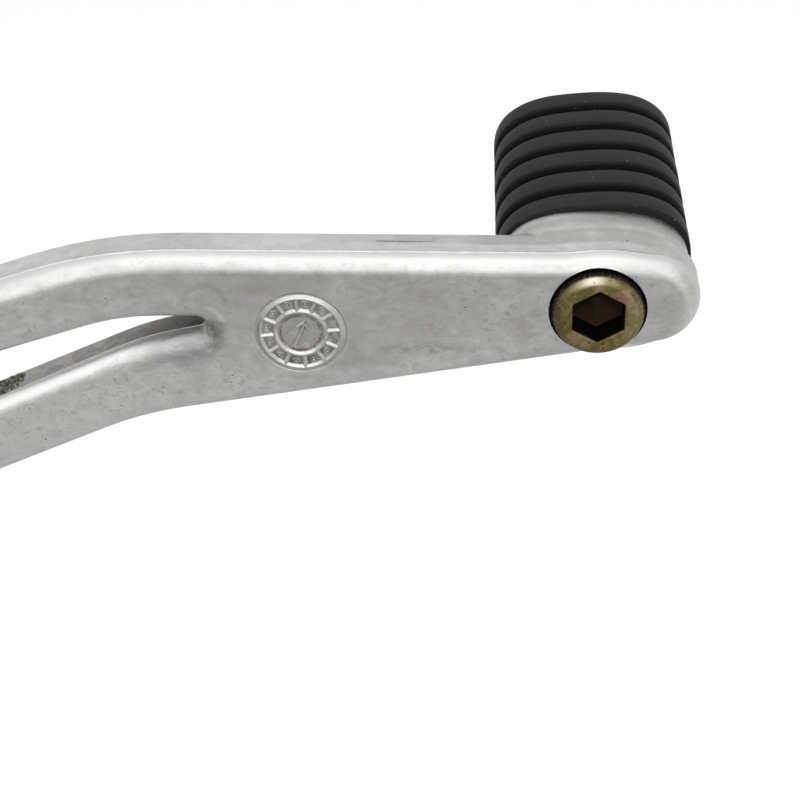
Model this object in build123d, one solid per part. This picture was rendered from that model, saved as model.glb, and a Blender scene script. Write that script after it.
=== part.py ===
from build123d import *
from math import acos, atan, atan2, asin, cos, degrees, pi, radians, sin, tan
import os

# Rear brake pedal of a motorcycle, in millimetres.
# The origin is on the pivot axis, where the pivot sleeve seats on the frame.
# +X runs from the pivot to the toe end, +Y outwards from the frame, +Z up.

# Lever, seen along Y
toe_reach = 140.0            # pivot axis to toe bolt axis, along X
toe_rise = 34.0              # pivot axis to toe bolt axis, along Z
hub_radius = 17.5            # round of the lever about the pivot
upper_bend_share = 0.5072    # of toe_reach, where the upper arm meets the top edge
lower_bend_share = 0.5378    # of toe_reach, where the lower arm meets the bottom edge
upper_arm_width = 10.6
lower_arm_width = 10.95
top_above_toe = 7.87         # straight top edge, over the toe bolt axis
top_slope = -0.53            # degrees
bottom_below_toe = 7.5       # straight bottom edge, under the toe bolt axis
bottom_slope = 9.76
upper_bend_radius = 67.0
lower_bend_radius = 49.0
eye_start = 4.6              # where the top edge begins to swell round the bolt
eye_crest = 8.5              # height of that swelling over the bolt axis
eye_crest_shift = 1.0
eye_dip_radius = 12.0
eye_crest_radius = 20.0
nose_reach = 14.25           # toe bolt axis to the tip of the lever
nose_shoulder = 6.7
full_round = 0.99            # share of an end's height that its two corner rounds fill

# Window between the two arms
window_start = 23.5          # pivot axis to the near end
window_tip_share = 0.6071    # of toe_reach, where the far end is
window_turn_share = 0.5455   # of toe_reach, where the lower edge bends towards the far end
window_tip_gap = 2.3
window_tip_slope = 12.0
window_upper_fill = 0.446    # share of the last straight that the bend before it takes up
window_lower_fill = 0.53
window_near_fill = 0.88      # share of the near end's height that its two rounds take up

# Lever thickness and edges
web_thickness = 8.8
web_offset = 13.2            # frame seat to the inner face of the lever
edge_round = 2.4

# Pivot hub
hub_length = 26.0
end_float = 0.2              # play of the hub between the frame and the washer
barrel_radius = 15.0
barrel_flare = 1.8
barrel_chamfer = 0.8
hub_bore = 22.0

# Tail eye for the brake push rod
tail_reach = 46.0
tail_angle = 200.0
tail_radius = 9.0
push_rod_bore = 8.0

# Toe boss and rubber toe peg
boss_half_width = 13.4
boss_half_height = 8.95
boss_depth = 3.2             # beyond the outer face of the lever
boss_blend = 1.6             # hollow round between boss and lever
boss_flank = 4.0             # length over which the boss rises out of the lever's top
boss_flank_drop = 1.1        # how much smaller the boss is where that begins
oval_power = 2.6             # 2 is an ellipse, more is squarer
oval_points = 24
peg_twist = 4.0              # the peg sits turned a little about its bolt
rubber_half_width = 14.0
rubber_half_height = 9.9
rubber_wall = 3.4            # from a ridge to the core
rubber_end_wall = 2.6
ridge_count = 6
ridge_width = 4.2
groove_width = 2.1
groove_depth = 1.2
ridge_round = 0.45

# Toe bolt
bolt_diameter = 8.0
bolt_head_diameter = 13.0
bolt_head_height = 8.0
bolt_head_round = 1.4
bolt_head_proud = 1.75       # stands out of its counterbore
bolt_grip = 16.0             # shank inside the core
bolt_socket = 7.0            # across flats
bolt_socket_depth = 4.0
bolt_hole_play = 0.25
counterbore_play = 0.35
thread_play = 0.05
thread_chamfer = 0.8         # at the end of every screw

# Pivot bearing
sleeve_diameter = 18.0
sleeve_hole_play = 0.2
bush_length = 8.0
seal_length = 4.0
press_play = 0.01
running_play = 0.04
seal_play = 0.06

# Pivot bolt and washer
pivot_bolt_diameter = 12.0   # shoulder inside the sleeve
pivot_thread_diameter = 10.0
pivot_thread_length = 18.0
pivot_head_diameter = 19.0
pivot_head_height = 6.0
pivot_head_round = 1.6
pivot_socket = 8.0
pivot_socket_depth = 3.6
washer_diameter = 27.0
washer_thickness = 2.5

# Stop screw below the hub
stop_drop = 27.0             # pivot axis to screw axis
stop_lug_length = 14.0
stop_lug_radius = 6.5
stop_lug_neck = 9.0
stop_thread = 6.0
stop_screw_length = 26.0
stop_head_flats = 10.0
stop_head_height = 4.0
stop_nut_height = 5.0
stop_tail = 2.0              # screw end past the lug

# Return spring
wire_diameter = 2.5
coil_play = 0.6              # coil to barrel
coil_turns = 3.25
coil_pitch = 2.7
coil_offset = 2.0            # frame seat to the first turn
hook_reach = 32.0            # pivot axis to the hook in the window
hook_play = 0.3
hook_depth = 9.0
foot_reach = 22.0            # coil to the foot in the frame
foot_depth = 6.0
leg_bend = 3.5

# Values worked out from the sizes above
web_inner = web_offset
web_outer = web_offset + web_thickness
web_middle = web_offset + web_thickness / 2
hub_inner = end_float
hub_outer = end_float + hub_length
sleeve_length = hub_length + 2 * end_float
boss_end = web_outer + boss_depth
head_seat = web_inner - bolt_head_proud + bolt_head_height
toe = Vector(toe_reach, toe_rise)


def polar(radius, angle):
    return Vector(radius * cos(radians(angle)), radius * sin(radians(angle)))


def meet(point, angle, other_point, other_angle):
    """Where a line through each point, at its angle, crosses the other."""
    run = polar(1, angle)
    other_run = polar(1, other_angle)
    gap = other_point - point
    span = run.X * other_run.Y - run.Y * other_run.X
    along = (gap.X * other_run.Y - gap.Y * other_run.X) / span
    return point + run * along


def toe_edge(share, height, slope):
    """A point on a straight edge of the toe end, at a share of the reach."""
    x = share * toe_reach
    return Vector(x, toe_rise + height + (x - toe_reach) * tan(radians(slope)))


def slope_from_hub(point, side):
    """Slope of the line to a point that touches the hub above (1) or below (-1)."""
    return degrees(atan2(point.Y, point.X) - side * asin(hub_radius / point.length))


upper_bend = toe_edge(upper_bend_share, top_above_toe, top_slope)
lower_bend = toe_edge(lower_bend_share, -bottom_below_toe, bottom_slope)
upper_arm_slope = slope_from_hub(upper_bend, 1)
lower_arm_slope = slope_from_hub(lower_bend, -1)


def across_y(profile, start, end):
    """A flat X-Z profile, given thickness from one Y to another."""
    return extrude(Plane.XZ.offset(-start) * profile, amount=end - start, dir=(0, 1, 0))


def rod(radius, start, end, x=0, z=0):
    """A round bar along Y."""
    return Pos(x, (start + end) / 2, z) * Rot(X=90) * Cylinder(radius, end - start)


def turned(points):
    """A body of revolution about the pivot axis from (radius, Y) corners."""
    return revolve(make_face(Polyline(*points, close=True)), axis=Axis.Y)


def ring(outer_radius, inner_radius, start, end):
    return rod(outer_radius, start, end) - rod(inner_radius, start, end)


def oval(half_width, half_height):
    """Squarish oval: a superellipse drawn as one closed curve."""
    corners = []
    for step in range(oval_points):
        c = cos(2 * pi * step / oval_points)
        s = sin(2 * pi * step / oval_points)
        x = half_width * abs(c) ** (2 / oval_power) * (1 if c > 0 else -1)
        z = half_height * abs(s) ** (2 / oval_power) * (1 if s > 0 else -1)
        corners.append((x, z))
    return make_face(Spline(*corners, periodic=True))


def lever_outline():
    """Outer edge: arms tangent to the hub, rounded toe end and teardrop tail."""
    upper_start = polar(hub_radius, 90 + upper_arm_slope)
    lower_start = polar(hub_radius, lower_arm_slope - 90)
    top_at_toe = toe + Vector(0, top_above_toe)
    bottom_at_toe = toe - Vector(0, bottom_below_toe)
    dip = meet(toe - Vector(eye_start, 0), 90, top_at_toe, top_slope)
    crest = toe + Vector(eye_crest_shift, eye_crest)
    shoulder = toe + Vector(nose_reach, nose_shoulder)
    chin = meet(shoulder, 90, bottom_at_toe, bottom_slope)

    shoulder_turn = 90 - degrees(asin((crest.Y - shoulder.Y) / (crest - shoulder).length))
    chin_turn = 90 - bottom_slope
    tangents = tan(radians(shoulder_turn / 2)) + tan(radians(chin_turn / 2))
    nose_radius = full_round * (shoulder.Y - chin.Y) / tangents

    corners = [upper_start, upper_bend, dip, crest, shoulder, chin, lower_bend, lower_start]
    radii = [
        upper_bend_radius,
        eye_dip_radius,
        eye_crest_radius,
        nose_radius,
        nose_radius,
        lower_bend_radius,
    ]

    tail = polar(tail_reach, tail_angle)
    lean = degrees(acos((hub_radius - tail_radius) / tail_reach))
    tail_top = tail_angle - lean
    tail_bottom = tail_angle + lean
    upper_rim = 90 + upper_arm_slope
    lower_rim = 270 + lower_arm_slope
    edges = [
        FilletPolyline(*corners, radius=radii),
        CenterArc((0, 0), hub_radius, tail_bottom, lower_rim - tail_bottom),
        Line(polar(hub_radius, tail_bottom), tail + polar(tail_radius, tail_bottom)),
        CenterArc(tail, tail_radius, tail_top, tail_bottom - tail_top),
        Line(polar(hub_radius, tail_top), tail + polar(tail_radius, tail_top)),
        CenterArc((0, 0), hub_radius, upper_rim, tail_top - upper_rim),
    ]
    return make_face(edges)


def window_outline():
    """Long opening between the arms, narrowing to a round tip towards the toe."""
    upper_edge = polar(hub_radius - upper_arm_width, 90 + upper_arm_slope)
    lower_edge = polar(hub_radius - lower_arm_width, lower_arm_slope - 90)
    middle_slope = (upper_arm_slope + lower_arm_slope) / 2
    near = polar(window_start, middle_slope)
    near_upper = meet(near, middle_slope + 90, upper_edge, upper_arm_slope)
    near_lower = meet(near, middle_slope + 90, lower_edge, lower_arm_slope)
    lower_turn = meet(lower_edge, lower_arm_slope, Vector(window_turn_share * toe_reach, 0), 90)
    tip_lower = meet(lower_turn, window_tip_slope, Vector(window_tip_share * toe_reach, 0), 90)
    tip_upper = tip_lower + Vector(0, window_tip_gap)
    upper_turn = meet(upper_edge, upper_arm_slope, tip_upper, 0)
    tip_tangents = 1 + tan(radians((90 - window_tip_slope) / 2))
    tip_radius = full_round * window_tip_gap / tip_tangents
    near_turn = 90 + (lower_arm_slope - upper_arm_slope) / 2
    near_height = (near_upper - near_lower).length
    near_radius = window_near_fill * near_height / 2 / tan(radians(near_turn / 2))
    upper_bite = window_upper_fill * (tip_upper - upper_turn).length
    lower_bite = window_lower_fill * (tip_lower - lower_turn).length
    corners = [near_upper, upper_turn, tip_upper, tip_lower, lower_turn, near_lower]
    radii = [
        near_radius,
        upper_bite / tan(radians(upper_arm_slope / 2)),
        tip_radius,
        tip_radius,
        lower_bite / tan(radians((lower_arm_slope - window_tip_slope) / 2)),
        near_radius,
    ]
    return make_face(FilletPolyline(*corners, radius=radii, close=True))


def hub_barrel():
    """Turned barrel that carries the bearing, flared into both faces of the lever."""
    flare_radius = barrel_radius + barrel_flare
    corners = [
        (0, hub_inner),
        (barrel_radius - barrel_chamfer, hub_inner),
        (barrel_radius, hub_inner + barrel_chamfer),
        (barrel_radius, web_inner - barrel_flare),
        (flare_radius, web_inner),
        (flare_radius, web_outer),
        (barrel_radius, web_outer + barrel_flare),
        (barrel_radius, hub_outer - barrel_chamfer),
        (barrel_radius - barrel_chamfer, hub_outer),
        (0, hub_outer),
    ]
    return turned(corners)


def web_with_boss():
    """The flat of the lever with rounded edges, and the toe boss blended into its outer face."""
    web = across_y(lever_outline() - window_outline(), web_inner, web_outer)
    sides = web.faces().sort_by(Axis.Y)
    web = fillet(sides[0].edges() + sides[-1].edges(), edge_round)
    at_toe = Pos(toe_reach, 0, toe_rise)
    boss_start = web_outer - edge_round
    shape = oval(boss_half_width, boss_half_height)
    boss = at_toe * across_y(shape, boss_start, boss_end)
    joined = web + boss
    joined = fillet(new_edges(web, boss, combined=joined), boss_blend)
    low_shape = oval(boss_half_width - boss_flank_drop, boss_half_height - boss_flank_drop)
    flank = loft([Plane.XZ.offset(boss_flank - boss_start) * low_shape, Plane.XZ.offset(-boss_start) * shape])
    return joined + at_toe * flank


def pedal_lever():
    neck = Pos(0, web_middle, -stop_drop / 2) * Box(stop_lug_length, stop_lug_neck, stop_drop)
    neck = fillet(neck.edges().filter_by(Axis.Z), edge_round / 2)
    lug = Pos(0, web_middle, -stop_drop) * Rot(Y=90) * Cylinder(stop_lug_radius, stop_lug_length)
    lever = web_with_boss() + hub_barrel() + neck + lug

    tail = polar(tail_reach, tail_angle)
    screw_hole = Pos(0, web_middle, -stop_drop) * Rot(Y=90)
    lever -= rod(hub_bore / 2, hub_inner, hub_outer)
    lever -= rod(push_rod_bore / 2, web_inner, web_outer, tail.X, tail.Y)
    lever -= rod(bolt_diameter / 2 + bolt_hole_play, web_inner, boss_end, toe_reach, toe_rise)
    lever -= rod(bolt_head_diameter / 2 + counterbore_play, web_inner, head_seat, toe_reach, toe_rise)
    lever -= screw_hole * Cylinder(stop_thread / 2 + thread_play, stop_lug_length)
    return lever


def peg_place():
    return Pos(toe_reach, 0, toe_rise) * Rot(Y=-peg_twist)


rubber_length = ridge_count * ridge_width + (ridge_count - 1) * groove_width
core_half_width = rubber_half_width - rubber_wall
core_half_height = rubber_half_height - rubber_wall
core_end = boss_end + rubber_length - rubber_end_wall


def toe_peg_core():
    core = across_y(oval(core_half_width, core_half_height), boss_end, core_end)
    core -= rod(bolt_diameter / 2 + thread_play, boss_end, boss_end + bolt_grip + bolt_diameter / 2)
    return peg_place() * core


def toe_peg_rubber():
    groove_half_width = rubber_half_width - groove_depth
    groove_half_height = rubber_half_height - groove_depth
    sleeve = across_y(oval(groove_half_width, groove_half_height), boss_end, boss_end + rubber_length)
    for number in range(ridge_count):
        start = boss_end + number * (ridge_width + groove_width)
        ridge = across_y(oval(rubber_half_width, rubber_half_height), start, start + ridge_width)
        sleeve += fillet(ridge.edges(), ridge_round)
    sleeve -= across_y(oval(core_half_width + press_play, core_half_height + press_play), boss_end, core_end)
    return peg_place() * sleeve


def toe_peg_bolt():
    head_top = web_inner - bolt_head_proud
    shank_end = boss_end + bolt_grip
    head = rod(bolt_head_diameter / 2, head_top, head_seat)
    head = fillet(head.edges().sort_by(Axis.Y)[0], bolt_head_round)
    shank = rod(bolt_diameter / 2, head_seat, shank_end)
    shank = chamfer(shank.edges().sort_by(Axis.Y)[-1], thread_chamfer)
    hexagon = RegularPolygon(bolt_socket / 2, 6, major_radius=False, rotation=30)
    bolt = head + shank - across_y(hexagon, head_top, head_top + bolt_socket_depth)
    return Pos(toe_reach, 0, toe_rise) * bolt


def pivot_bush(start):
    return ring(hub_bore / 2 - press_play, sleeve_diameter / 2 + running_play, start, start + bush_length)


def dust_seal(start):
    return ring(hub_bore / 2 - press_play, sleeve_diameter / 2 + seal_play, start, start + seal_length)


def pivot_sleeve():
    return ring(sleeve_diameter / 2, pivot_bolt_diameter / 2 + sleeve_hole_play, 0, sleeve_length)


def pivot_washer():
    hole = pivot_bolt_diameter / 2 + sleeve_hole_play
    return ring(washer_diameter / 2, hole, sleeve_length, sleeve_length + washer_thickness)


def pivot_bolt():
    head_start = sleeve_length + washer_thickness
    head_end = head_start + pivot_head_height
    head = rod(pivot_head_diameter / 2, head_start, head_end)
    head = fillet(head.edges().sort_by(Axis.Y)[-1], pivot_head_round)
    shank = rod(pivot_bolt_diameter / 2, 0, head_start)
    thread = rod(pivot_thread_diameter / 2, -pivot_thread_length, 0)
    thread = chamfer(thread.edges().sort_by(Axis.Y)[0], thread_chamfer)
    hexagon = RegularPolygon(pivot_socket / 2, 6, major_radius=False)
    return head + shank + thread - across_y(hexagon, head_end - pivot_socket_depth, head_end)


def along_stop(profile, start, end):
    """A profile about the stop screw's axis, given length along X."""
    plane = Plane(origin=(start, web_middle, -stop_drop), x_dir=(0, 1, 0), z_dir=(1, 0, 0))
    return extrude(plane * profile, amount=end - start)


def stop_screw():
    shank_start = -stop_lug_length / 2 - stop_tail
    head_start = shank_start + stop_screw_length
    shank = along_stop(Circle(stop_thread / 2), shank_start, head_start)
    shank = chamfer(shank.edges().sort_by(Axis.X)[0], thread_chamfer)
    hexagon = RegularPolygon(stop_head_flats / 2, 6, major_radius=False)
    return shank + along_stop(hexagon, head_start, head_start + stop_head_height)


def stop_lock_nut():
    start = stop_lug_length / 2
    hexagon = RegularPolygon(stop_head_flats / 2, 6, major_radius=False)
    hole = Circle(stop_thread / 2 + thread_play)
    return along_stop(hexagon - hole, start, start + stop_nut_height)


def return_spring():
    """Torsion spring: a foot for the frame, the coil, and a hook under the upper arm."""
    wire_radius = wire_diameter / 2
    coil_radius = barrel_radius + coil_play + wire_radius
    climb = atan(coil_pitch / (2 * pi * coil_radius))
    under_arm = hub_radius - upper_arm_width - wire_radius - hook_play
    hook = meet(polar(under_arm, 90 + upper_arm_slope), upper_arm_slope, Vector(hook_reach, 0), 90)
    exit_angle = degrees(atan2(hook.Y, hook.X) + acos(coil_radius / hook.length))
    entry_angle = exit_angle + 360 * coil_turns

    def on_coil(angle, y):
        spot = polar(coil_radius, angle)
        return Vector(spot.X, y, spot.Y)

    def wire_run(angle):
        flat = polar(cos(climb), angle - 90)
        return Vector(flat.X, sin(climb), flat.Y)

    entry = on_coil(entry_angle, coil_offset)
    leave = on_coil(exit_angle, coil_offset + coil_turns * coil_pitch)
    foot = entry - wire_run(entry_angle) * foot_reach
    hook_corner = leave + wire_run(exit_angle) * (hook - polar(coil_radius, exit_angle)).length
    start = polar(1, entry_angle)
    coil_plane = Plane(origin=(0, coil_offset, 0), x_dir=(start.X, 0, start.Y), z_dir=(0, 1, 0))
    coil = coil_plane * Helix(coil_pitch, coil_pitch * coil_turns, coil_radius)
    foot_leg = FilletPolyline(foot - Vector(0, foot_depth, 0), foot, entry, radius=leg_bend)
    hook_leg = FilletPolyline(leave, hook_corner, hook_corner + Vector(0, hook_depth, 0), radius=leg_bend)
    path = Wire(foot_leg.edges() + coil.edges() + hook_leg.edges())
    return sweep(Plane(origin=path @ 0, z_dir=path % 0) * Circle(wire_radius), path=path)


os.makedirs("parts", exist_ok=True)
pieces = {
    "pedal_lever": pedal_lever(),
    "toe_peg_core": toe_peg_core(),
    "toe_peg_rubber": toe_peg_rubber(),
    "toe_peg_bolt": toe_peg_bolt(),
    "pivot_bush_inner": pivot_bush(hub_inner + seal_length),
    "pivot_bush_outer": pivot_bush(hub_outer - seal_length - bush_length),
    "dust_seal_inner": dust_seal(hub_inner),
    "dust_seal_outer": dust_seal(hub_outer - seal_length),
    "stop_screw": stop_screw(),
    "stop_lock_nut": stop_lock_nut(),
    "pivot_sleeve": pivot_sleeve(),
    "pivot_bolt": pivot_bolt(),
    "pivot_washer": pivot_washer(),
    "return_spring": return_spring(),
}
for name, piece in pieces.items():
    export_step(piece, f"parts/{name}.step")
    print(name, round(piece.volume, 1))
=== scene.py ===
# %% [markdown]
# # A rear brake pedal, dressed for the camera
#
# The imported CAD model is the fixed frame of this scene: it says where every piece is and how it
# moves. Here the pieces get their finishes, and those that need finer shapes than the CAD gives,
# such as the ribbed rubber, the screws with their threads and the sprung wire, are modelled anew
# in the same place. The pedal is held by its pivot screw, so nothing stands on the floor.

import math

import bmesh
import bpy
from mathutils import Matrix, Vector, noise


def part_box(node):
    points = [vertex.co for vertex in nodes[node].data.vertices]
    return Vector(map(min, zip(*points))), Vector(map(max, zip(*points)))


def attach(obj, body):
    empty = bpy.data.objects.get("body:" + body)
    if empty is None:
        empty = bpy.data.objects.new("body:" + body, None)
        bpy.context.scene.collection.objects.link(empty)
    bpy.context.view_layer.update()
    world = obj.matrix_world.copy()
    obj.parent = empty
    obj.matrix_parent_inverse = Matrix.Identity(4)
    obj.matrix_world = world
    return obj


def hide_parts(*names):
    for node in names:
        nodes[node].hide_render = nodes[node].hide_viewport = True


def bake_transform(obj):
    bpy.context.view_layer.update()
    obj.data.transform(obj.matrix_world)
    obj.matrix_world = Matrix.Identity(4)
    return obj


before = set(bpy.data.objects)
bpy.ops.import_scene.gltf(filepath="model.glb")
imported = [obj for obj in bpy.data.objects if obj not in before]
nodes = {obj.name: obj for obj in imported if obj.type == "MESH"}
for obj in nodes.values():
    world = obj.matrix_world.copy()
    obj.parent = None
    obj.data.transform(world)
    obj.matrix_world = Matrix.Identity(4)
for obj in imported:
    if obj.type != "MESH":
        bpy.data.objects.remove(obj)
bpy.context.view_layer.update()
MM = 0.001

# %% [markdown]
# ## Where things are
#
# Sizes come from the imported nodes, so that a piece made here sits where the CAD piece sits. The
# toe bolt gives the toe end's axis, and its head stands a little proud of the lever's flat face,
# which gives that face. Lengths below are in metres, as everything in Blender is.

# %% Read the places of the toe end, the pivot and the stop screw
bolt_low, bolt_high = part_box("toe_peg_bolt")
toe_x = (bolt_low.x + bolt_high.x) / 2
toe_z = (bolt_low.z + bolt_high.z) / 2
head_proud = 1.75 * MM
face_y = bolt_low.y + head_proud
rubber_low, rubber_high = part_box("toe_peg_rubber")
pivot_low, pivot_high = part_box("pivot_bolt")
stop_low, stop_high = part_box("stop_screw")
nut_low, nut_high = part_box("stop_lock_nut")
print("toe axis at", round(toe_x / MM, 2), round(toe_z / MM, 2), "face at", round(face_y / MM, 2))

# %% [markdown]
# ## Camera
#
# The photograph looks at the frame side of the lever from a little above, with a long lens. Its
# place was fitted to round features of the part, so the camera gets a place and three directions:
# to its right, up, and along its view. A camera looks along its own -Z, hence the minus sign.

# %% Set the camera
camera_place = Vector((0.1221, -0.2146, 0.1803))
camera_right = Vector((0.99938, 0.03010, -0.01803))
camera_up = Vector((-0.00270, 0.57824, 0.81586))
camera_view = Vector((-0.03498, 0.81531, -0.57797))
camera_data = bpy.data.cameras.new("camera")
camera_data.sensor_width = 36.0
camera_data.lens = 87.75
camera_data.clip_start = 0.01
camera = bpy.data.objects.new("camera", camera_data)
bpy.context.scene.collection.objects.link(camera)
turn = Matrix((camera_right, camera_up, -camera_view)).transposed().to_4x4()
camera.matrix_world = Matrix.Translation(camera_place) @ turn
bpy.context.scene.camera = camera
bpy.context.scene.view_settings.view_transform = "Standard"
print("camera at", [round(c, 4) for c in camera_place], "lens", camera_data.lens)

# %% [markdown]
# ## Shader sums written as Python
#
# A finish is a web of nodes. Wiring each one by hand hides what it does, so a socket is wrapped in
# a small class: adding or multiplying wrapped sockets makes the Math nodes. Every other node comes
# from one method, which sets a node's own settings first and then fills or links its inputs.

# %% The wrapped socket and the node maker
class Value:
    """A shader socket that Python can calculate with."""

    def __init__(self, finish, socket):
        self.finish = finish
        self.socket = socket

    def maths(self, operation, *others):
        inputs = dict(enumerate((self, *others)))
        return self.finish.node("ShaderNodeMath", {"operation": operation}, inputs)

    def __add__(self, other):
        return self.maths("ADD", other)

    def __sub__(self, other):
        return self.maths("SUBTRACT", other)

    def __mul__(self, other):
        return self.maths("MULTIPLY", other)

    def __truediv__(self, other):
        return self.maths("DIVIDE", other)

    __radd__ = __add__
    __rmul__ = __mul__

    def __rsub__(self, other):
        return self.finish.node("ShaderNodeMath", {"operation": "SUBTRACT"}, {0: other, 1: self})

    def __abs__(self):
        return self.maths("ABSOLUTE")

    def rise(self, low, high):
        """0 below low, 1 above high, and smooth between them."""
        settings = {"interpolation_type": "SMOOTHSTEP"}
        return self.finish.node("ShaderNodeMapRange", settings, {0: self, 1: low, 2: high})

    def fall(self, low, high):
        return 1 - self.rise(low, high)

    def within(self, low, full, fading, gone):
        """1 from full to fading, and smooth down to 0 at low and at gone."""
        return self.rise(low, full) * self.fall(fading, gone)

    def at_least(self, low):
        return self.maths("MAXIMUM", low)

    def at_most(self, high):
        return self.maths("MINIMUM", high)

    def bell(self):
        """1 where the value is 0, falling off smoothly to both sides."""
        return (0 - self * self).maths("EXPONENT")


class NodeWeb:
    """The nodes of one material or of the world."""

    def __init__(self, tree):
        self.tree = tree
        tree.nodes.clear()

    def node(self, kind, settings=None, inputs=None, output=0):
        made = self.tree.nodes.new(kind)
        for name, value in (settings or {}).items():
            if name == "stops":
                ramp = made.color_ramp.elements
                ramp.remove(ramp[1])
                ramp[0].position, ramp[0].color = value[0]
                for place, colour in value[1:]:
                    ramp.new(place).color = colour
            else:
                setattr(made, name, value)
        for name, value in (inputs or {}).items():
            if isinstance(value, Value):
                self.tree.links.new(value.socket, made.inputs[name])
            else:
                made.inputs[name].default_value = value
        if isinstance(output, tuple):
            return [Value(self, made.outputs[o]) for o in output]
        return Value(self, made.outputs[output]) if made.outputs else None

    def mix(self, share, first, second):
        """A colour between two colours."""
        return self.node("ShaderNodeMix", {"data_type": "RGBA"}, {0: share, 6: first, 7: second}, 2)


def grey(level, warmth=0.0):
    """A near-grey colour; warmth above 0 leans to yellow."""
    return (level * (1 + warmth / 2), level, level * (1 - warmth), 1.0)


print("node maker ready")

# %% [markdown]
# Every finish reads Object coordinates. They are in metres, so a Mapping node turns them into
# millimetres first, and a noise of scale 2 then has about two grains to the millimetre. Each
# finish ends in one Principled shader with a bump for its fine relief.

# %% The start and the end of every finish
class Finish(NodeWeb):
    """A material whose patterns are laid out in millimetres on the piece."""

    def __init__(self, name):
        self.material = bpy.data.materials.new(name + "_finish")
        self.material.use_nodes = True
        super().__init__(self.material.node_tree)
        place = self.node("ShaderNodeTexCoord", output=3)
        self.place = self.node("ShaderNodeMapping", {}, {0: place, 3: (1 / MM,) * 3})
        self.x, self.y, self.z = self.node("ShaderNodeSeparateXYZ", {}, {0: self.place}, (0, 1, 2))

    def stretched(self, sizes, turned=(0.0, 0.0, 0.0)):
        """The place, turned and stretched, for patterns that run one way."""
        return self.node("ShaderNodeMapping", {}, {0: self.place, 2: turned, 3: sizes})

    def noise(self, scale, detail=3.0, roughness=0.55, distortion=0.0, place=None):
        sizes = {"Scale": scale, "Detail": detail, "Roughness": roughness, "Distortion": distortion}
        return self.node("ShaderNodeTexNoise", {}, {"Vector": place or self.place, **sizes})

    def specks(self, scale, size, share):
        """Round dots: one in some of the cells of a Voronoi pattern."""
        cells = {"Vector": self.place, "Scale": scale}
        distance, colour = self.node("ShaderNodeTexVoronoi", {}, cells, (0, 1))
        chance = self.node("ShaderNodeSeparateColor", {}, {0: colour}, 0)
        return distance.fall(size * 0.5, size) * chance.rise(1 - share, 1.001 - share)

    def close(self, colour, roughness, relief, metallic=0.0, **constants):
        """Wires the shader; relief is a height in millimetres."""
        normal = self.node("ShaderNodeBump", {}, {"Height": relief, "Distance": MM})
        inputs = {"Base Color": colour, "Roughness": roughness, "Metallic": metallic}
        inputs.update({name.replace("_", " "): value for name, value in constants.items()})
        inputs["Normal"] = normal
        shader = self.node("ShaderNodeBsdfPrincipled", {}, inputs)
        self.node("ShaderNodeOutputMaterial", {}, {0: shader})
        print("finish", self.material.name, "has", len(self.tree.nodes), "nodes")
        return self.material


# %% [markdown]
# ## The cast lever's finish
#
# The real lever is an aluminium casting, tumbled to a satin sheen. Up close it is not even: it has
# cloudy patches, tiny dark pores, and smears left by hands and rags. A photo texture would freeze
# all this to one view, so it is built from layers of noise, from broad clouds down to fine grain.

# %% Satin cast aluminium
cast = Finish("cast_aluminium")
clouds = cast.noise(0.09, 4.0, 0.6, 0.5)
patches = cast.noise(0.4, 5.0, 0.62, 0.8)
mottle = cast.noise(1.1, 5.0, 0.66, 0.3)
grain = cast.noise(2.6, 3.0, 0.6)
smears = cast.noise(0.5, 5.0, 0.65, 1.2, cast.stretched((0.45, 1.0, 1.0), (0.0, 0.2, 0.0)))
smudge_shapes = cast.noise(0.9, 6.0, 0.7, 1.6, cast.stretched((0.8, 1.0, 1.0), (0.0, 0.5, 0.0)))
pores = cast.specks(0.36, 0.07, 0.4)
face = face_y / MM
on_front = cast.y.fall(face + 0.3, face + 1.4)
print("the lever's face is at y =", round(face, 2), "mm")

# %% [markdown]
# Yellow-brown stains are left where road dirt sat. What belongs to one place on the lever is laid
# down by its distance from there: a soft oval spot for a stain, a thin ring for a round mark. Each
# stain is given by its middle, x and z, and its half width and half height, in millimetres.

# %% Stains on the face
def spot(finish, x, z, half_width, half_height):
    """A soft oval spot on the lever's face, 1 in its middle."""
    return ((finish.x - x) / half_width).bell() * ((finish.z - z) / half_height).bell()


def distance_from(finish, x, z):
    """How far a point of the piece is from a line along Y."""
    across, along = finish.x - x, finish.z - z
    return (across * across + along * along).maths("SQRT")


stain_places = [
    (89.5, 36.0, 5.0, 2.0),
    (95.0, 37.8, 6.0, 1.2),
    (106.3, 28.6, 1.6, 2.2),
    (105.5, 25.4, 4.0, 1.2),
    (112.5, 27.6, 5.0, 1.1),
    (116.5, 36.6, 5.0, 2.0),
    (119.0, 27.4, 4.0, 1.0),
    (129.8, 31.8, 1.8, 2.6),
    (149.6, 34.6, 2.0, 3.0),
    (99.0, 22.6, 3.0, 0.8),
    (117.0, 31.5, 7.5, 3.0),
]
stain_spots = sum(spot(cast, *place) for place in stain_places)
stains = stain_spots * patches.rise(0.34, 0.58) * on_front
print("stains:", len(stain_places))
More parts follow.
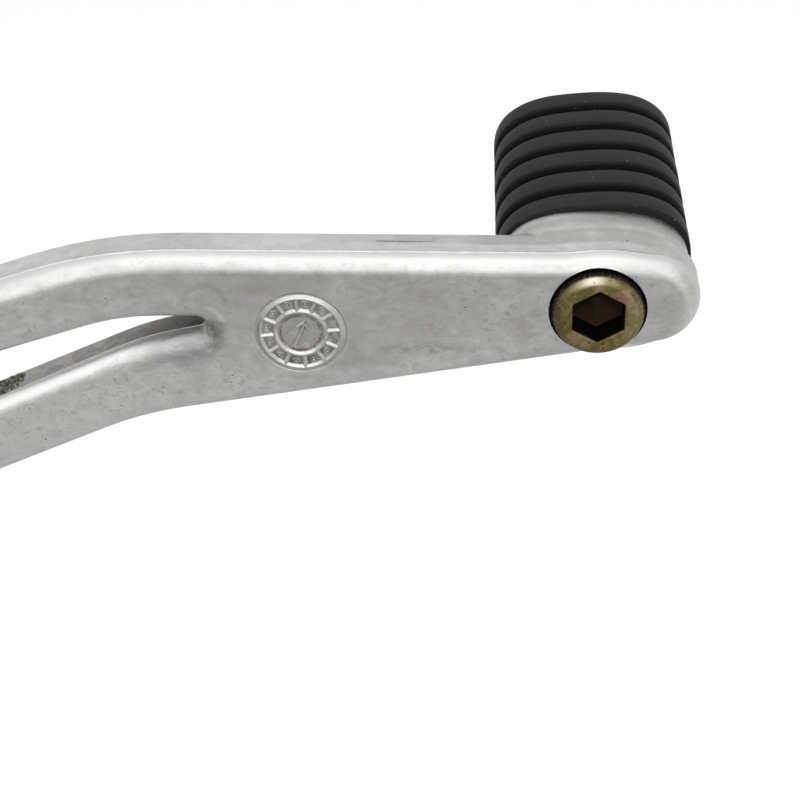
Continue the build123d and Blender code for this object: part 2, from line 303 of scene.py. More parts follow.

# %% [markdown]
# The window's walls lie between the two arms, so a band along the window's middle line, kept to
# the depth behind the rounded edge, picks them out. Only the wall of the lower arm faces up and
# holds dirt; on that arm the polished round reaches further back. The dirt grows darker towards the
# slot's narrow end, which is painted near black as shadow, with a dark crescent of painted shadow
# beside it.

# %% Grime in the window, and painted shadow at its narrow end
edge_round = 2.4
crease_y = face + edge_round
window_slope, window_rise = 0.351, 1.05
below_middle = cast.x * window_slope + window_rise - cast.z
near_window = below_middle.fall(7.0, 9.0)
beside_window = cast.x.within(20.0, 24.0, 87.0, 90.0)
lower_arm = below_middle.rise(-1.0, 0.0) * beside_window
crease_here = crease_y + lower_arm * cast.x.rise(52.0, 72.0) * 0.7
past_crease = cast.y - crease_here
in_window = below_middle.rise(-1.2, 0.2) * near_window * beside_window
in_window = in_window * past_crease.rise(-0.02, 0.12)
dirt_grain = cast.noise(3.2, 3.0, 0.7)
wall_grime = 0.55 + patches.rise(0.35, 0.65) * 0.25 + dirt_grain.rise(0.5, 0.7) * 0.3
grime = in_window * (wall_grime + cast.x.rise(66.0, 84.0) * 0.5).at_most(1.0)
# Painted shadow: the slot's narrow end goes near black, with a dark crescent beside it
tip_painted_shadow = in_window * cast.x.rise(76.0, 85.5) * (0.5 + mottle.rise(0.35, 0.6) * 0.5)
tip_shadow = spot(cast, 86.4, 30.6, 1.3, 2.4) - spot(cast, 84.8, 31.2, 1.0, 1.5)
slot_end_shadow = tip_shadow.at_least(0.0) * on_front * mottle.rise(0.25, 0.65)
print("window walls start behind y =", round(crease_y, 2), "mm")

# %% [markdown]
# The date wheel is modelled further down, but it shares this finish, so its dirt is placed here.
# Dirt stays in the fields between its rims, most in the lower ones, and in a thin line round it.

# %% Dirt in the date wheel
wheel_x, wheel_z = 98.6, 30.35
from_wheel = distance_from(cast, wheel_x, wheel_z)
wheel_line = abs(from_wheel - 6.42).fall(0.05, 0.22) * on_front
wheel_line = wheel_line * (0.4 + patches.rise(0.3, 0.6) * 0.6)
fields = from_wheel.within(3.8, 4.1, 5.2, 5.5) + abs(from_wheel - 3.0).fall(0.1, 0.45)
pockets = fields * (0.85 + cast.z.fall(25.5, 30.0) * 0.3) + from_wheel.fall(2.8, 3.0) * 0.55
low_lying = cast.y.rise(face - 0.2, face - 0.06) * on_front
pockets = pockets * low_lying * (0.35 + mottle.rise(0.35, 0.6) * 0.65)
print("date wheel at x, z =", wheel_x, wheel_z)

# %% [markdown]
# The rounded edges were polished on a belt, by eye. Each meets the wall in a sharp crease, which
# catches the light as a thin line: the relief rises towards the crease and stops there. In the
# window the lower arm's edge was ground flatter, so the relief takes some of the round's turn away,
# and near the hub the upper arm's round begins a little earlier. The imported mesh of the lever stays
# as it is, so these small changes are relief in its finish.

# %% Polished edges
on_arms = cast.x.rise(17.0, 23.0)
near_crease = (past_crease.at_most(0.0) + 1.5).at_least(0.0)
sharpened = near_crease * near_crease * on_arms * 0.11
window_edge = lower_arm * near_window * cast.x.fall(70.0, 82.0)
depth = (cast.y - face).at_least(0.0)
turned = (1 - depth.at_most(edge_round) / edge_round).maths("ARCCOSINE")
behind = (depth.at_most(crease_here - face) - edge_round).at_least(0.0)
slow_start = 0.25 - (0 - turned * 4.0).maths("EXPONENT") * 0.25
flattened = (turned - slow_start) * 0.76 + behind * 0.5
bend_x, bend_z, bend_radius = 80.0, -24.6, 67.0
up_the_round = distance_from(cast, bend_x, bend_z) - (bend_radius - edge_round)
on_upper_arm = cast.x.within(40.0, 50.0, 62.0, 71.0) * (1 - lower_arm)
widened = up_the_round.fall(-1.4, 1.2) * on_upper_arm * 0.2
polish = sharpened * (1 - window_edge) + flattened * window_edge + widened
on_round = cast.y.rise(face + 0.3, face + 1.2) * past_crease.fall(-0.02, 0.02) * on_arms
# Painted highlight: a thin bright line along the crease, laid into the colour
crease_glint = abs(past_crease + 0.04).fall(0.06, 0.18) * on_arms * cast.x.fall(137.0, 148.0)
crease_glint = crease_glint * (0.55 + patches.rise(0.35, 0.55) * 0.45)
print("edges are rounded by", edge_round, "mm")

# %% [markdown]
# A used lever has marks: fine scratches, a deep score on the top wall, a scribed line above the
# toe, and a swirl and a rubbed ring round the slot's end. Where boots and rags rub, by the slot's
# end and along the top edge, the polish has gone dull; there the rounds' colour is also darkened,
# as painted shade.

# %% Scratches, scores, and dull wear with painted shade
long_marks = cast.noise(1.0, 2.0, 0.5, 0.0, cast.stretched((0.35, 1.0, 5.0), (0.0, 0.35, 0.0)))
scratches = long_marks.rise(0.66, 0.7) * patches.rise(0.45, 0.6) * on_front
smudges = smudge_shapes.rise(0.52, 0.66) * (0.35 + clouds.rise(0.42, 0.58) * 0.65) * on_front
on_top = cast.z.rise(39.0, 41.0)
score = abs(cast.y - 18.2 - mottle * 0.3).fall(0.06, 0.2) * cast.z.rise(39.0, 40.0)
score = score * cast.x.within(109.0, 109.6, 114.5, 118.5)
scribed = abs(past_crease - 0.2).fall(0.06, 0.2) * cast.x.within(124.0, 132.0, 146.0, 149.0)
scores = score + scribed * on_top * mottle.rise(0.38, 0.55) * 0.5
swirl = abs(distance_from(cast, 85.4, 35.1) - 2.9).fall(0.1, 0.6) * cast.z.rise(34.8, 36.0)
swirl = swirl * on_front * (0.4 + mottle.rise(0.35, 0.6) * 0.6)
rub_mark = abs(distance_from(cast, 84.9, 31.5) - 3.0).fall(0.1, 0.5) * on_front
rub_mark = rub_mark * cast.x.rise(84.6, 86.2) * cast.z.rise(31.6, 33.0)
by_slot_end = ((cast.x - 83.0) / 9.0).bell() * lower_arm * below_middle.fall(3.5, 7.5)
on_top_edge = spot(cast, 80.5, 40.5, 8.0, 0.9) * 0.45 + spot(cast, 147.5, 40.0, 2.5, 1.3) * 0.3
dull_wear_and_shade = (by_slot_end + on_top_edge) * past_crease.fall(-0.1, 0.1)
print("cast finish so far:", len(cast.tree.nodes), "nodes")

# %% [markdown]
# The colours are laid one over the other. First comes the metal, with painted shading: it is made
# brighter low down, towards the rubber and at the front of the top wall, and darker at the top wall's
# back; it is also brighter near the hub and darker at the back of the lever. The rounded edges get a
# painted highlight. Dull wear, which darkens the rounds as painted shade, goes over that, then
# stains, dirt, the painted shadow at the slot's end, pores and scratches, and last a painted
# highlight along the crease.

# %% The lever's metal tones, with painted shading
rubber_start = rubber_low.y / MM
uneven = clouds * 0.9 + patches * 0.8 + mottle * 0.4 + smears * 0.7 - 1.4
# Painted shading: brighter low down and towards the rubber, lighter at the top wall's front, darker
# at its back
tone_and_painted_shade = 0.32 + cast.z.fall(14.0, 42.0) * 0.45 + cast.x.fall(50.0, 100.0) * 0.2
tone_and_painted_shade = tone_and_painted_shade + cast.y.rise(rubber_start - 2.5, rubber_start) * 0.5 - cast.y.rise(21.0, 23.0) * 0.3
top_wall_painted_light = past_crease.rise(0.0, 0.3) * cast.x.within(80.0, 95.0, 144.0, 150.0)
top_wall_painted_light = top_wall_painted_light * (cast.x.fall(118.0, 126.0) + past_crease.fall(1.4, 2.4)).at_most(1.0)
top_wall_painted_shade = past_crease.within(1.7, 2.6, 4.4, 5.4) * cast.x.within(100.0, 115.0, 146.0, 150.0)
tone_and_painted_shade = tone_and_painted_shade + top_wall_painted_light * 0.24 - top_wall_painted_shade * on_top * 0.28
tone_and_painted_shade = tone_and_painted_shade + uneven * (1 - on_round * 0.6)
metal = cast.mix(tone_and_painted_shade, grey(0.36, 0.015), grey(0.62, 0.015))
# Painted highlight: the rounded edges are lightened, more on the lower arm, most near the crease in
# the window
painted_edge_light = cast.mix(on_round * (0.26 + lower_arm * 0.15), metal, grey(0.75))
lit_edge = past_crease.within(-1.2, -0.4, -0.02, 0.02) * window_edge
lit = cast.mix(lit_edge * 0.85, painted_edge_light, grey(0.95))
streaks = dull_wear_and_shade * smears.rise(0.48, 0.62)
# Painted shade: the colour is darkened where the polish is dull, with lighter streaks
dulled_and_shaded = cast.mix(dull_wear_and_shade * 0.9 - streaks * 0.35, lit, grey(0.26))
print("the rubber starts at y =", round(rubber_start, 2), "mm")

# %% The lever's finished shader
stain_brown, smudge_brown = (0.31, 0.302, 0.27, 1.0), (0.2, 0.194, 0.17, 1.0)
grime_and_shadow_brown, tip_shadow_black = (0.12, 0.11, 0.088, 1.0), (0.022, 0.022, 0.016, 1.0)
# Dirt and scores, with the painted shadow at the slot's end
dark_dirt_and_shade = slot_end_shadow * 0.9 + wheel_line * 0.5 + pockets * 0.85 + grime * 0.8 + scores * 0.8
stained = cast.mix((stains * 0.8 + swirl * 0.4).at_most(1.0), dulled_and_shaded, stain_brown)
grimy_and_shaded = cast.mix(dark_dirt_and_shade.at_most(1.0), stained, grime_and_shadow_brown)
tip_shaded = cast.mix(tip_painted_shadow * 0.85, grimy_and_shaded, tip_shadow_black)
smudged = cast.mix(smudges * 0.45, tip_shaded, smudge_brown)
pored = cast.mix(pores * 0.7, smudged, grey(0.08, 0.1))
scratched = cast.mix(scratches * 0.2 + rub_mark * 0.35, pored, grey(0.7))
# The crease's thin line is a painted highlight
cast_colour = cast.mix(crease_glint * 0.8, scratched, grey(0.9))
uneven_sheen = patches * 0.1 + mottle * 0.08 + smears * 0.08 - 0.03
cast_roughness = 0.3 + uneven_sheen + stains * 0.12 + dark_dirt_and_shade * 0.3 + dull_wear_and_shade * 0.2
fine_relief = grain * 0.006 + mottle * 0.012 + patches * 0.022
cast_relief = fine_relief - pores * 0.05 - wheel_line * 0.05 + polish
cast_aluminium = cast.close(cast_colour, cast_roughness, cast_relief, 1.0)

# %% [markdown]
# ## Finishes of the other pieces
#
# Rubber is dark with a dusty bloom and a few pale specks; its grooves and ridge ends are painted
# near black as shade, and the ridges' side towards the toe's end gets painted light. The toe bolt is
# zinc plate with a yellow passivated film, thin enough to shimmer between olive, gold and pink; its
# socket, its side and most of its rounded rim are darkened as painted shade, and a pale spot on the
# rim is a painted highlight. The pivot's screws have a colder, clear zinc plate; the sleeve is
# ground, with fine rings round its axis; the bushes are sintered bronze; the spring wire is dark and
# oiled.

# %% Dusty moulded rubber, with painted shade and light
rubber = Finish("peg_rubber")
ridge_count, ridge_width, groove_width = 6, 4.2, 2.1
ridge_step = ridge_width + groove_width
along_ridge = ((rubber.y - rubber_start) / ridge_step).maths("FRACT") * ridge_step
on_ridge = along_ridge.rise(0.12, 0.5) * along_ridge.fall(ridge_width - 0.3, ridge_width + 0.1)
bloom = rubber.noise(0.16, 4.0, 0.6, 0.4)
skin = rubber.noise(3.0, 4.0, 0.65)
dust = rubber.specks(0.7, 0.09, 0.4)
bloomed = rubber.mix(bloom.rise(0.3, 0.75), grey(0.007), grey(0.0145, 0.06))
# Painted shade: grooves and ridge ends go near black
painted_groove_shade = rubber.mix(on_ridge, grey(0.002), bloomed)
# Painted light: the ridges' side towards the toe's end is lightened
lit_toe_side = (rubber.x - toe_x / MM).rise(12.8, 14.0) * on_ridge
painted_side_light = rubber.mix(lit_toe_side, painted_groove_shade, grey(0.08, 0.05))
rubber_colour = rubber.mix(dust * 0.6, painted_side_light, grey(0.3, 0.05))
rubber_roughness = 0.62 + bloom * 0.16 - on_ridge * 0.06
rubber_relief = skin * 0.012 + bloom * 0.05
peg_rubber = rubber.close(rubber_colour, rubber_roughness, rubber_relief, Specular_IOR_Level=0.22)

# %% Yellow zinc of the toe bolt, with painted shade and highlight
zinc = Finish("yellow_zinc")
film = zinc.noise(0.24, 1.5, 0.5, 0.5)
wear = zinc.noise(1.6, 4.0, 0.6)
flecks = zinc.specks(1.2, 0.24, 0.6) * wear.rise(0.36, 0.5)
across, along = zinc.x - toe_x / MM, zinc.z - toe_z / MM
from_axis = distance_from(zinc, toe_x / MM, toe_z / MM)
below_top = zinc.y - bolt_low.y / MM
in_socket = below_top.rise(0.0, 0.12) * from_axis.fall(4.3, 4.6)
on_side = below_top.rise(0.4, 0.85) * from_axis.rise(5.6, 5.9)
film_stops = [
    (0.34, (0.26, 0.145, 0.085, 1.0)),
    (0.43, (0.21, 0.155, 0.07, 1.0)),
    (0.50, (0.13, 0.113, 0.038, 1.0)),
    (0.57, (0.172, 0.16, 0.05, 1.0)),
    (0.66, (0.27, 0.2, 0.12, 1.0)),
]
film_colour = zinc.node("ShaderNodeValToRGB", {"stops": film_stops}, {0: film})
pale_gold, rim_shade_brown = (0.4, 0.34, 0.17, 1.0), (0.085, 0.068, 0.03, 1.0)
fleck_brown, socket_painted_shade = (0.02, 0.016, 0.012, 1.0), (0.009, 0.006, 0.004, 1.0)
side_shade_dark, side_shade_streak = (0.012, 0.009, 0.008, 1.0), (0.06, 0.045, 0.036, 1.0)
# Painted shade darkens the rounded rim; a pale spot at its top is a painted highlight, among real
# rubbed wear
rim_painted_highlight = from_axis.rise(5.0, 5.4) * along.rise(1.5, 4.5) * ((across + 1.0) / 1.6125).bell() * 0.8
rubbed_and_highlit = (wear.rise(0.5, 0.75) * 0.25).at_least(rim_painted_highlight)
gilded = zinc.mix(across.rise(2.8, 4.6) * 0.25, film_colour, pale_gold)
rim_shaded = zinc.mix(from_axis.rise(5.1, 5.7) * 0.65, gilded, rim_shade_brown)
pale_wear_and_highlight = zinc.mix(rubbed_and_highlit, rim_shaded, grey(0.5, 0.18))
flecked = zinc.mix(flecks * 0.85, pale_wear_and_highlight, fleck_brown)
teeth = zinc.noise(1.0, 2.0, 0.5, 0.0, zinc.stretched((2.6, 0.3, 2.6)))
ridged = teeth.rise(0.45, 0.65) * below_top.fall(0.6, 1.7)
# Painted shade: the head's side goes near black, with faint lighter streaks
side_shaded = zinc.mix(on_side, flecked, zinc.mix(ridged, side_shade_dark, side_shade_streak))
# Painted shade: the socket's inside goes near black
zinc_colour = zinc.mix(in_socket * 0.97, side_shaded, socket_painted_shade)
zinc_roughness = 0.24 + wear * 0.16 + in_socket * 0.2 + on_side * 0.25
yellow_zinc = zinc.close(zinc_colour, zinc_roughness, wear * 0.01 - flecks * 0.01, 1.0)

# %% Clear zinc, ground steel, bronze, spring wire, core and seals
def plain_metal(name, dark, light, roughness, grain_sizes, relief=0.006, warmth=0.0):
    """A metal with one grain, which may be stretched to run one way."""
    metal = Finish(name)
    lines = metal.noise(1.0, 4.0, 0.6, 0.0, metal.stretched(grain_sizes))
    cloud = metal.noise(0.2, 3.0)
    shade = metal.mix(lines * 0.6 + cloud * 0.4, grey(dark, warmth), grey(light, warmth))
    return metal.close(shade, lines * 0.12 + cloud * 0.08 + (roughness - 0.1), lines * relief, 1.0)


white_zinc = plain_metal("white_zinc", 0.36, 0.5, 0.3, (1.2, 1.2, 1.2))
ground_steel = plain_metal("ground_steel", 0.42, 0.55, 0.24, (0.05, 6.0, 0.05), 0.003)
bearing_bronze = plain_metal("bearing_bronze", 0.2, 0.3, 0.42, (1.5, 1.5, 1.5), 0.02, 0.55)
spring_steel = plain_metal("spring_steel", 0.06, 0.12, 0.34, (1.0, 3.0, 1.0))
core_aluminium = plain_metal("core_aluminium", 0.34, 0.44, 0.42, (0.8, 0.8, 0.8), 0.02)
seal = Finish("seal_rubber")
seal_skin = seal.noise(1.4, 4.0)
seal_colour = seal.mix(seal_skin, grey(0.012), grey(0.03))
seal_rubber = seal.close(seal_colour, 0.38 + seal_skin * 0.15, seal_skin * 0.008)

# %% Give the CAD nodes their finishes
node_finishes = {
    "pedal_lever": cast_aluminium,
    "toe_peg_core": core_aluminium,
    "toe_peg_rubber": peg_rubber,
    "toe_peg_bolt": yellow_zinc,
    "pivot_bush_inner": bearing_bronze,
    "pivot_bush_outer": bearing_bronze,
    "dust_seal_inner": seal_rubber,
    "dust_seal_outer": seal_rubber,
    "stop_screw": white_zinc,
    "stop_lock_nut": white_zinc,
    "pivot_sleeve": ground_steel,
    "pivot_bolt": white_zinc,
    "pivot_washer": white_zinc,
    "return_spring": spring_steel,
}
for name, material in node_finishes.items():
    nodes[name].data.materials.clear()
    nodes[name].data.materials.append(material)
print("CAD nodes with a finish:", len(node_finishes))

# %% [markdown]
# ## Light and background
#
# The photograph has a pure white background and a broad softbox above and in front: the rounded
# front edges mirror it as a white band, while the flat face mirrors the table and stays grey. So
# there is one large soft lamp in front and above, a weak low strip for the edges that face down,
# and two faint lamps, overhead and behind, for the top walls. The white comes from the world and
# the floor, for rays from the camera and from mirror-like surfaces.

# %% Soft lamps
aim = Vector((toe_x * 0.6, face_y, toe_z))
lamp_width = 1.3


def softbox(name, azimuth, elevation, distance, height, radiance):
    """A soft lamp that faces the pedal; radiance 1 is as bright as white paper."""
    lamp = bpy.data.lights.new(name, "AREA")
    lamp.shape = "RECTANGLE"
    lamp.size, lamp.size_y = lamp_width, height
    lamp.energy = radiance * math.pi * lamp_width * height
    thing = bpy.data.objects.new(name, lamp)
    bpy.context.scene.collection.objects.link(thing)
    a, e = math.radians(azimuth), math.radians(elevation)
    back = Vector((math.sin(a) * math.cos(e), -math.cos(a) * math.cos(e), math.sin(e)))
    thing.location = aim + back * distance
    thing.rotation_euler = (-back).to_track_quat("-Z", "Y").to_euler()
    print(name, "gives", round(lamp.energy, 2), "W")


softbox("front_softbox", 0, 41, 0.75, 1.35, 1.35)
softbox("low_softbox", 0, -12, 0.75, 0.26, 0.4)
softbox("top_softbox", 180, 76, 0.75, 0.6, 0.12)
softbox("back_softbox", 180, 42, 0.9, 0.6, 0.12)

# %% The floor and the white world
def seen_directly(web):
    """1 for rays from the camera, from mirror-like surfaces and through glass."""
    rays = ("Is Camera Ray", "Is Glossy Ray", "Is Transmission Ray")
    camera_ray, glossy_ray, through_ray = web.node("ShaderNodeLightPath", output=rays)
    return camera_ray.at_least(glossy_ray).at_least(through_ray)


def added(primitive, **sizes):
    """Adds a primitive with nothing else selected."""
    bpy.ops.object.select_all(action="DESELECT")
    primitive(**sizes)
    return bpy.context.object


world = bpy.data.worlds.new("studio")
bpy.context.scene.world = world
world.use_nodes = True
sky = NodeWeb(world.node_tree)
ambient = sky.node("ShaderNodeBackground", {}, {0: grey(1.0), 1: 0.3})
white = sky.node("ShaderNodeBackground", {}, {0: grey(1.0), 1: 1.0})
both = sky.node("ShaderNodeMixShader", {}, {0: seen_directly(sky), 1: ambient, 2: white})
sky.node("ShaderNodeOutputWorld", {}, {0: both})

floor_place, paper_glow = (0.0, 0.0, -0.75), 0.72
floor = added(bpy.ops.mesh.primitive_plane_add, size=12.0, location=floor_place)
floor.name = "floor"
floor_material = bpy.data.materials.new("floor_paper")
floor_material.use_nodes = True
paper = NodeWeb(floor_material.node_tree)
matt = paper.node("ShaderNodeBsdfDiffuse", {}, {0: grey(0.8)})
on_floor = paper.node("ShaderNodeTexCoord", output="Object")
floor_x, floor_y = paper.node("ShaderNodeSeparateXYZ", {}, {0: on_floor}, (0, 1))
glossy_ray = paper.node("ShaderNodeLightPath", output="Is Glossy Ray")
room = floor_y.fall(0.2, 1.0) * floor_x.fall(0.3, 0.9) * glossy_ray
strip = abs(floor_y + 0.45).fall(0.05, 0.35) * glossy_ray
glow = seen_directly(paper) * (paper_glow - room * 0.53 + strip * 0.08)
shine = paper.node("ShaderNodeEmission", {}, {0: grey(1.0), 1: glow})
matt_and_shine = paper.node("ShaderNodeAddShader", {}, {0: matt, 1: shine})
paper.node("ShaderNodeOutputMaterial", {}, {0: matt_and_shine})
floor.data.materials.append(floor_material)
print("floor at", floor.location.z)

# %% [markdown]
# ## Working by hand
#
# The pieces below are modelled as one would at the screen: a primitive is added at its size and
# place and then shaped in edit mode. In code the mouse clicks become tests, so faces and edges are
# picked by where they lie. Nearly all pieces are round, so one helper does what a lathe does: it
# adds a disc and extrudes it ring by ring, each ring resized about the Y axis. A piece is moved to
# its place on the pedal last.

# %% Picking, and a disc drawn out ring by ring
def only(piece):
    """Selects one piece alone and makes it active."""
    if bpy.context.mode != "OBJECT":
        bpy.ops.object.mode_set(mode="OBJECT")
    bpy.ops.object.select_all(action="DESELECT")
    piece.select_set(True)
    bpy.context.view_layer.objects.active = piece


def apply_place(piece):
    only(piece)
    bpy.ops.object.transform_apply(location=True, rotation=True, scale=True)


def edit(piece):
    only(piece)
    bpy.ops.object.mode_set(mode="EDIT")


def edit_all(piece):
    edit(piece)
    bpy.ops.mesh.select_all(action="SELECT")


def extrude(move):
    bpy.ops.mesh.extrude_region_move(TRANSFORM_OT_translate={"value": move})


def pick(piece, kind, test):
    """In edit mode, selects the verts, edges or faces that pass a test."""
    bpy.ops.mesh.select_mode(type=kind.upper()[:4])
    bpy.ops.mesh.select_all(action="DESELECT")
    mesh = bmesh.from_edit_mesh(piece.data)
    picked = [part for part in getattr(mesh, kind) if test(part)]
    for part in picked:
        part.select_set(True)
    mesh.select_flush_mode()
    bmesh.update_edit_mesh(piece.data)
    return len(picked)


def face_outwards(piece):
    edit_all(piece)
    bpy.ops.mesh.normals_make_consistent(inside=False)
    only(piece)


def drawn_out(rings, sides, power=2.0):
    """A closed body along the Y axis from rings of (half width, half height, y) in millimetres."""
    wide, high, y = rings[0]
    piece = added(bpy.ops.mesh.primitive_circle_add, vertices=sides, radius=1.0, fill_type="NGON")
    for vertex in piece.data.vertices:
        c, s = vertex.co.x, vertex.co.y
        x = math.copysign(abs(c) ** (2 / power), c) * wide
        z = math.copysign(abs(s) ** (2 / power), s) * high
        vertex.co = Vector((x, y, z)) * MM
    edit_all(piece)
    for (was_wide, was_high, was_y), (wide, high, y) in zip(rings, rings[1:]):
        extrude((0.0, (y - was_y) * MM, 0.0))
        ratio = (wide / was_wide, 1.0, high / was_high)
        bpy.ops.transform.resize(value=ratio, center_override=(0.0, y * MM, 0.0))
    face_outwards(piece)
    return piece


seam_gap, smooth_below = 0.0005 * MM, math.radians(32)


def settle(piece, name, finish, body, replaced=None, middle=(0.0, 0.0)):
    """Moves a piece to its axis, closes its seams, and hangs it on a body with its finish."""
    piece.location = (middle[0], 0.0, middle[1])
    apply_place(piece)
    edit_all(piece)
    bpy.ops.mesh.remove_doubles(threshold=seam_gap)
    face_outwards(piece)
    bpy.ops.object.shade_smooth_by_angle(angle=smooth_below)
    piece.name = piece.data.name = name
    piece.data.materials.clear()
    piece.data.materials.append(finish)
    if body:
        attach(piece, body)
    if replaced:
        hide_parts(replaced)
    low, high = [[round(c[i] / MM, 2) for i in range(3)] for c in corners_of(piece)]
    print(name, "from", low, "to", high, "with", len(piece.data.polygons), "faces")


def corners_of(piece):
    """The lowest and the highest corner of a piece's box."""
    points = [vertex.co for vertex in piece.data.vertices]
    return [[end(point[i] for point in points) for i in range(3)] for end in (min, max)]


# %% [markdown]
# ## The ribbed rubber
#
# The toe peg's grip is one moulding: a rubber sleeve, closed at its outer end, pushed over an oval
# core. The drawing out starts at the floor of the hollow, comes back along its wall, turns over the
# open end and then steps in and out for each ridge. The ridges' edges are rounded with a bevel, and
# they are worn by boots: a slow noise takes a little off, never adds.

# %% Rubber sleeve
wall, end_wall, groove_depth = 3.4, 2.6, 1.2
half_wide, half_high, oval_power, sleeve_sides = 14.0, 9.9, 2.6, 128
ridge_round, wear_depth, wear_scale = 0.5 * MM, 0.14 * MM, 160.0
rubber_end = rubber_high.y / MM
inside = (half_wide - wall, half_high - wall)
groove = (half_wide - groove_depth, half_high - groove_depth)
sleeve_rings = [(*inside, rubber_end - end_wall), (*inside, rubber_start)]
for ridge_number in range(ridge_count):
    low = rubber_start + ridge_number * ridge_step
    sleeve_rings += [(half_wide, half_high, low), (half_wide, half_high, low + ridge_width)]
    if ridge_number < ridge_count - 1:
        sleeve_rings += [(*groove, low + ridge_width), (*groove, low + ridge_step)]
sleeve = drawn_out(sleeve_rings, sleeve_sides, oval_power)
edit(sleeve)


def on_ridge_edge(edge):
    """A ring edge on the outer skin: level in Y and outside the grooves' oval."""
    ends = [vertex.co / MM for vertex in edge.verts]
    sizes = [abs(e.x / half_wide) ** oval_power + abs(e.z / half_high) ** oval_power for e in ends]
    return abs(ends[0].y - ends[1].y) < 0.01 and min(sizes) > 0.97


edge_count = pick(sleeve, "edges", on_ridge_edge)
bpy.ops.mesh.bevel(offset=ridge_round, segments=4, profile=0.5, affect="EDGES")
only(sleeve)
for vertex in sleeve.data.vertices:
    rub = 0.5 + 0.5 * noise.noise(vertex.co * wear_scale)
    inset = wear_depth * rub / Vector((vertex.co.x, 0.0, vertex.co.z)).length
    vertex.co.x *= 1 - inset
    vertex.co.z *= 1 - inset
peg_twist = math.radians(-4.0)
sleeve.data.transform(Matrix.Rotation(peg_twist, 4, "Y"))
print("rounded", edge_count, "ridge edges")
settle(sleeve, "rubber_sleeve", peg_rubber, "pedal", "toe_peg_rubber", (toe_x, toe_z))

# %% [markdown]
# ## Screws
#
# A socket head screw is turned, rolled and broached: turned to its steps, rolled to raise the
# thread and the knurl, broached to press in the six-sided socket. The same order works here. The
# thread starts as a plain shank cut into many rows; each point then moves in by how far it is from
# the crest of a screw line, flat at the crest and at the root as standard threads are.

# %% Rolling a thread and cutting a socket
crest_flat, flank, depth_of_pitch = 0.125, 0.625, 0.613
rows_per_turn = 10


def roll_thread(piece, low, high, radius, pitch):
    """Sinks a right-hand thread into the shank between two heights along Y."""
    edit(piece)

    def along_shank(edge):
        first, second = sorted((vertex.co / MM for vertex in edge.verts), key=lambda end: end.y)
        at_ends = abs(first.y - low) < 0.01 and abs(second.y - high) < 0.01
        return at_ends and abs(math.hypot(first.x, first.z) - radius) < 0.02

    pick(piece, "edges", along_shank)
    bpy.ops.mesh.subdivide(number_cuts=round((high - low) / pitch * rows_per_turn))
    mesh = bmesh.from_edit_mesh(piece.data)
    thread_depth = depth_of_pitch * pitch
    for vertex in mesh.verts:
        y, size = vertex.co.y / MM, math.hypot(vertex.co.x, vertex.co.z) / MM
        if low + 0.001 < y < high - 0.001 and abs(size - radius) < 0.02:
            turns = y / pitch - math.atan2(vertex.co.x, vertex.co.z) / (2 * math.pi)
            off_crest = abs(2 * (turns % 1.0) - 1)
            sink = min(max((off_crest - crest_flat) / flank, 0.0), 1.0)
            fade = min((y - low) / pitch, (high - y) / pitch, 1.0)
            ratio = 1 - thread_depth * sink * fade / radius
            vertex.co.x *= ratio
            vertex.co.z *= ratio
    bmesh.update_edit_mesh(piece.data)
    only(piece)


def carve(piece, tool, operation="DIFFERENCE"):
    """Takes the tool's shape out of the piece, or keeps only what is inside it."""
    only(piece)
    cut = piece.modifiers.new("cut", "BOOLEAN")
    cut.operation, cut.object, cut.solver = operation, tool, "EXACT"
    bpy.ops.object.modifier_apply(modifier=cut.name)
    bpy.data.objects.remove(tool)


def corner_of(flats):
    """How far the corners of a hexagon are from its middle."""
    return flats / 2 / math.cos(math.pi / 6)


def socket_tool(flats, mouth, depth, inwards):
    """A six-sided punch with a pointed end and a flared neck; inwards is +1 or -1 along Y."""
    corner, point, flare = corner_of(flats), 1.5, 0.35
    profile = [(0.4, depth + point), (corner, depth), (corner, 0.2), (corner + flare, -0.15)]
    return drawn_out([(r, r, mouth + inwards * y) for r, y in profile], 6)


def round_edge(radius, y, size, inwards, steps=5):
    """Rings of a rounded edge, from the side of the head up to its end face."""
    rings = []
    for k in range(steps + 1):
        t = math.pi / 2 * k / steps
        rings.append((radius - size * (1 - math.cos(t)), y + inwards * size * (1 - math.sin(t))))
    return rings


def screw_body(profile, sides):
    """A round or six-sided body from (radius, y) pairs."""
    return drawn_out([(r, r, y) for r, y in profile], sides)


# %% [markdown]
# The toe bolt's head is knurled on its side, so that fingers can turn it. On the mesh that is every
# second line of points along the side, moved in by a tenth of a millimetre or so.

# %% Toe bolt
head_radius, head_top = (bolt_high.x - bolt_low.x) / 2 / MM, bolt_low.y / MM
shank_end, head_height, head_round, shank = bolt_high.y / MM, 8.0, 1.4, 4.0
end_chamfer, head_chamfer, plain_shank, toe_sides, knurl_depth = 0.8, 0.25, 5.6, 96, 0.14
head_foot = head_top + head_height
thread_top = head_foot + plain_shank
toe_profile = [(shank - end_chamfer, shank_end), (shank, shank_end - end_chamfer)]
toe_profile += [(shank, thread_top), (shank, head_foot), (head_radius - head_chamfer, head_foot)]
toe_profile += [(head_radius, head_foot - head_chamfer)]
toe_profile += round_edge(head_radius, head_top, head_round, 1)
toe_screw = screw_body(toe_profile, toe_sides)
roll_thread(toe_screw, thread_top, shank_end - end_chamfer, shank, 1.25)
edit(toe_screw)


def in_knurl(vertex):
    """Every second point of the head's side."""
    size = math.hypot(vertex.co.x, vertex.co.z) / MM
    number = round(math.atan2(vertex.co.x, vertex.co.z) / (2 * math.pi) * toe_sides)
    return size > head_radius - 0.3 and vertex.co.y / MM > head_top + 0.9 and number % 2 == 0


